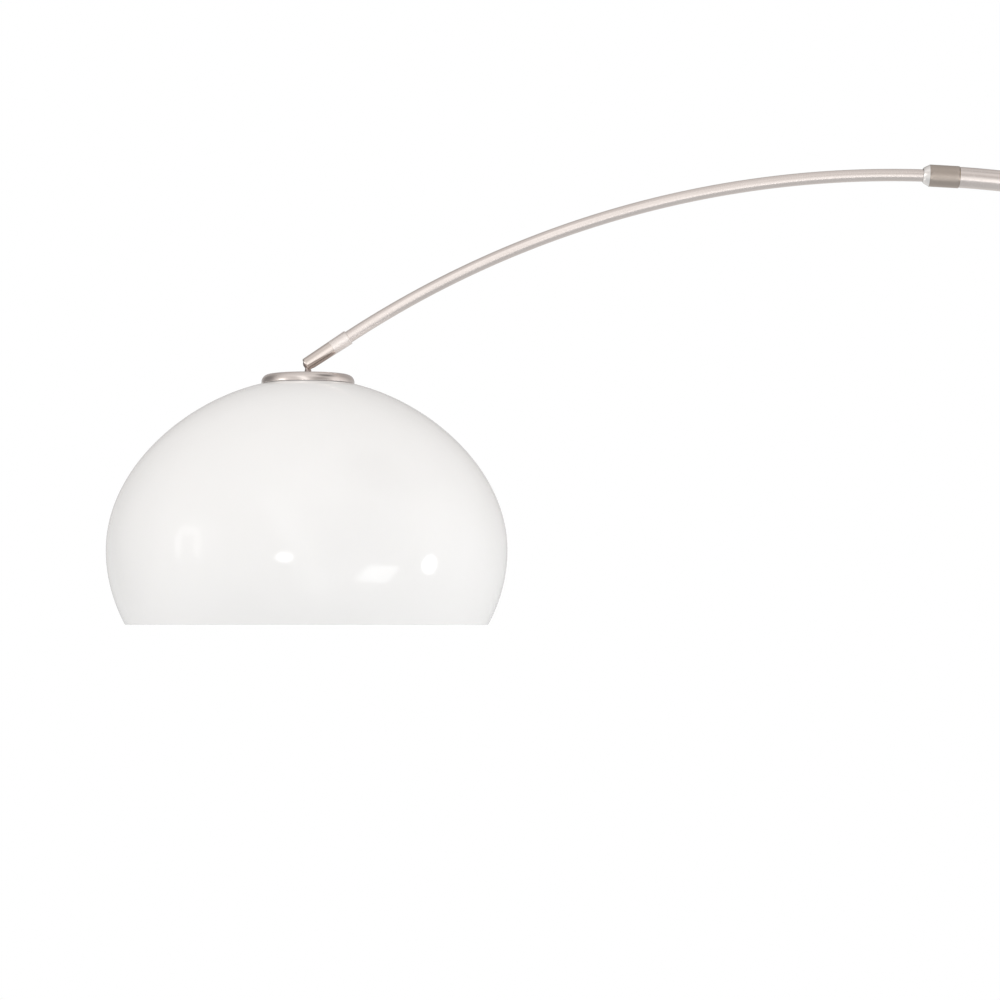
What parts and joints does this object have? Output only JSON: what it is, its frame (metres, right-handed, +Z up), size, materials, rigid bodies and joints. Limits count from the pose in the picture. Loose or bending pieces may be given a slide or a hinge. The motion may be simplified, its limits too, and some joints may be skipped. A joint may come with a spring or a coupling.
{
  "type": "arc floor lamp",
  "caption": "Floor lamp with a round marble base, a telescoping arc tube and a domed opal shade on a ball swivel.",
  "frame": {"origin": "on the floor, on the stem's axis, at the middle of the pad's underside", "axes": "+Z up; the arc lies in the XZ plane and reaches out to -X; +Y is the far side from the foot switch"},
  "size_m": [2.0816, 0.42, 2.1361],
  "materials": {
    "marble": "polished white marble with grey veins",
    "felt": "dense grey felt",
    "nickel": "satin nickel plate",
    "zinc_steel": "bright zinc plate",
    "opal_acrylic": "glossy opal white",
    "nylon": "natural nylon",
    "rubber": "matt rubber",
    "black_plastic": "fine matt black",
    "white_plastic": "satin white",
    "flex_pvc": "satin white sheath",
    "brass": "plain brass",
    "porcelain": "glazed porcelain",
    "frosted_glass": "frosted white",
    "spring_steel": "blued spring steel"
  },
  "bodies": {
    "foot": {"floor_pad": "felt", "marble_base": "marble", "tie_rod": "zinc_steel", "tie_rod_washer": "zinc_steel", "tie_rod_nut": "zinc_steel", "stem_hub": "nickel", "foot_cover": "nickel", "cord_gland": "black_plastic", "gland_nut": "black_plastic", "terminal_block": "white_plastic", "foot_switch_body": "black_plastic", "stem_tube_lower": "nickel", "stem_joiner": "nickel", "stem_tube_upper": "nickel", "stem_lower_bush": "nylon", "arc_seat": "nylon", "stem_top_collar": "nickel", "stem_grub_screws": "zinc_steel", "stem_flex": "flex_pvc"},
    "switch_button": {"foot_switch_button": "black_plastic"},
    "thumb_screw": {"thumb_screw_shank": "zinc_steel", "thumb_screw_knob": "nickel"},
    "arc": {"arc_tube_lower": "nickel", "arc_joiner": "zinc_steel", "arc_tube_upper": "nickel", "arc_flex": "flex_pvc", "telescope_fitting": "brass", "telescope_bush": "nylon", "telescope_collet": "nylon"},
    "clamp_nut": {"telescope_nut": "nickel"},
    "arm": {"arm_tube": "nickel", "arm_guide_ring": "nylon", "arm_flex": "flex_pvc", "arm_ferrule": "nickel", "ferrule_grub_screw": "zinc_steel"},
    "socket": {"swivel_socket": "nickel", "ball_pad": "nylon", "disc_springs": "spring_steel"},
    "swivel": {"swivel_ball": "nickel"},
    "shade_head": {"shade_cap": "nickel", "shade": "opal_acrylic", "shade_washer": "rubber", "shade_clamp_plate": "zinc_steel", "stud_nut": "zinc_steel", "lampholder_cap": "black_plastic", "lampholder_skirt": "black_plastic", "lampholder_core": "porcelain", "lampholder_screw_shell": "brass", "lampholder_contact": "brass", "lampholder_wires": "flex_pvc", "bulb_contact": "brass", "bulb_screw_base": "brass", "bulb_glass": "frosted_glass"}
  },
  "joints": [
    {"name": "arc_swing", "type": "hinge", "parent": "foot", "child": "arc", "pos_m": [0, 0, 1], "axis": [0, 0, 1], "range_deg": [-170, 170]},
    {"name": "arm_extend", "type": "hinge", "parent": "arc", "child": "arm", "pos_m": [-1.045, 0, 1.08], "axis": [0, 1, 0], "range_deg": [0, 30]},
    {"name": "clamp_nut_turn", "type": "hinge", "parent": "arc", "child": "clamp_nut", "pos_m": [-0.97483, 0, 2.12264], "axis": [-0.9984, 0, 0.0567], "range_deg": [0, 180]},
    {"name": "socket_turn", "type": "hinge", "parent": "arm", "child": "socket", "pos_m": [-1.66163, 0, 1.92521], "axis": [-0.8355, 0, -0.5495], "range_deg": [-90, 90]},
    {"name": "shade_tilt", "type": "hinge", "parent": "socket", "child": "swivel", "pos_m": [-1.66163, 0, 1.92521], "axis": [0, 1, 0], "range_deg": [-30, 55]},
    {"name": "shade_spin", "type": "hinge", "parent": "swivel", "child": "shade_head", "pos_m": [-1.66163, 0, 1.92521], "axis": [0, 0, 1], "range_deg": [-170, 170]},
    {"name": "thumb_screw_turn", "type": "hinge", "parent": "foot", "child": "thumb_screw", "pos_m": [0, 0, 1.053], "axis": [1, 0, 0], "range_deg": [0, 180]},
    {"name": "foot_switch_press", "type": "slide", "parent": "foot", "child": "switch_button", "axis": [0, 0, -1], "range_m": [0, 0.003], "stiffness_N_per_m": 900}
  ]
}
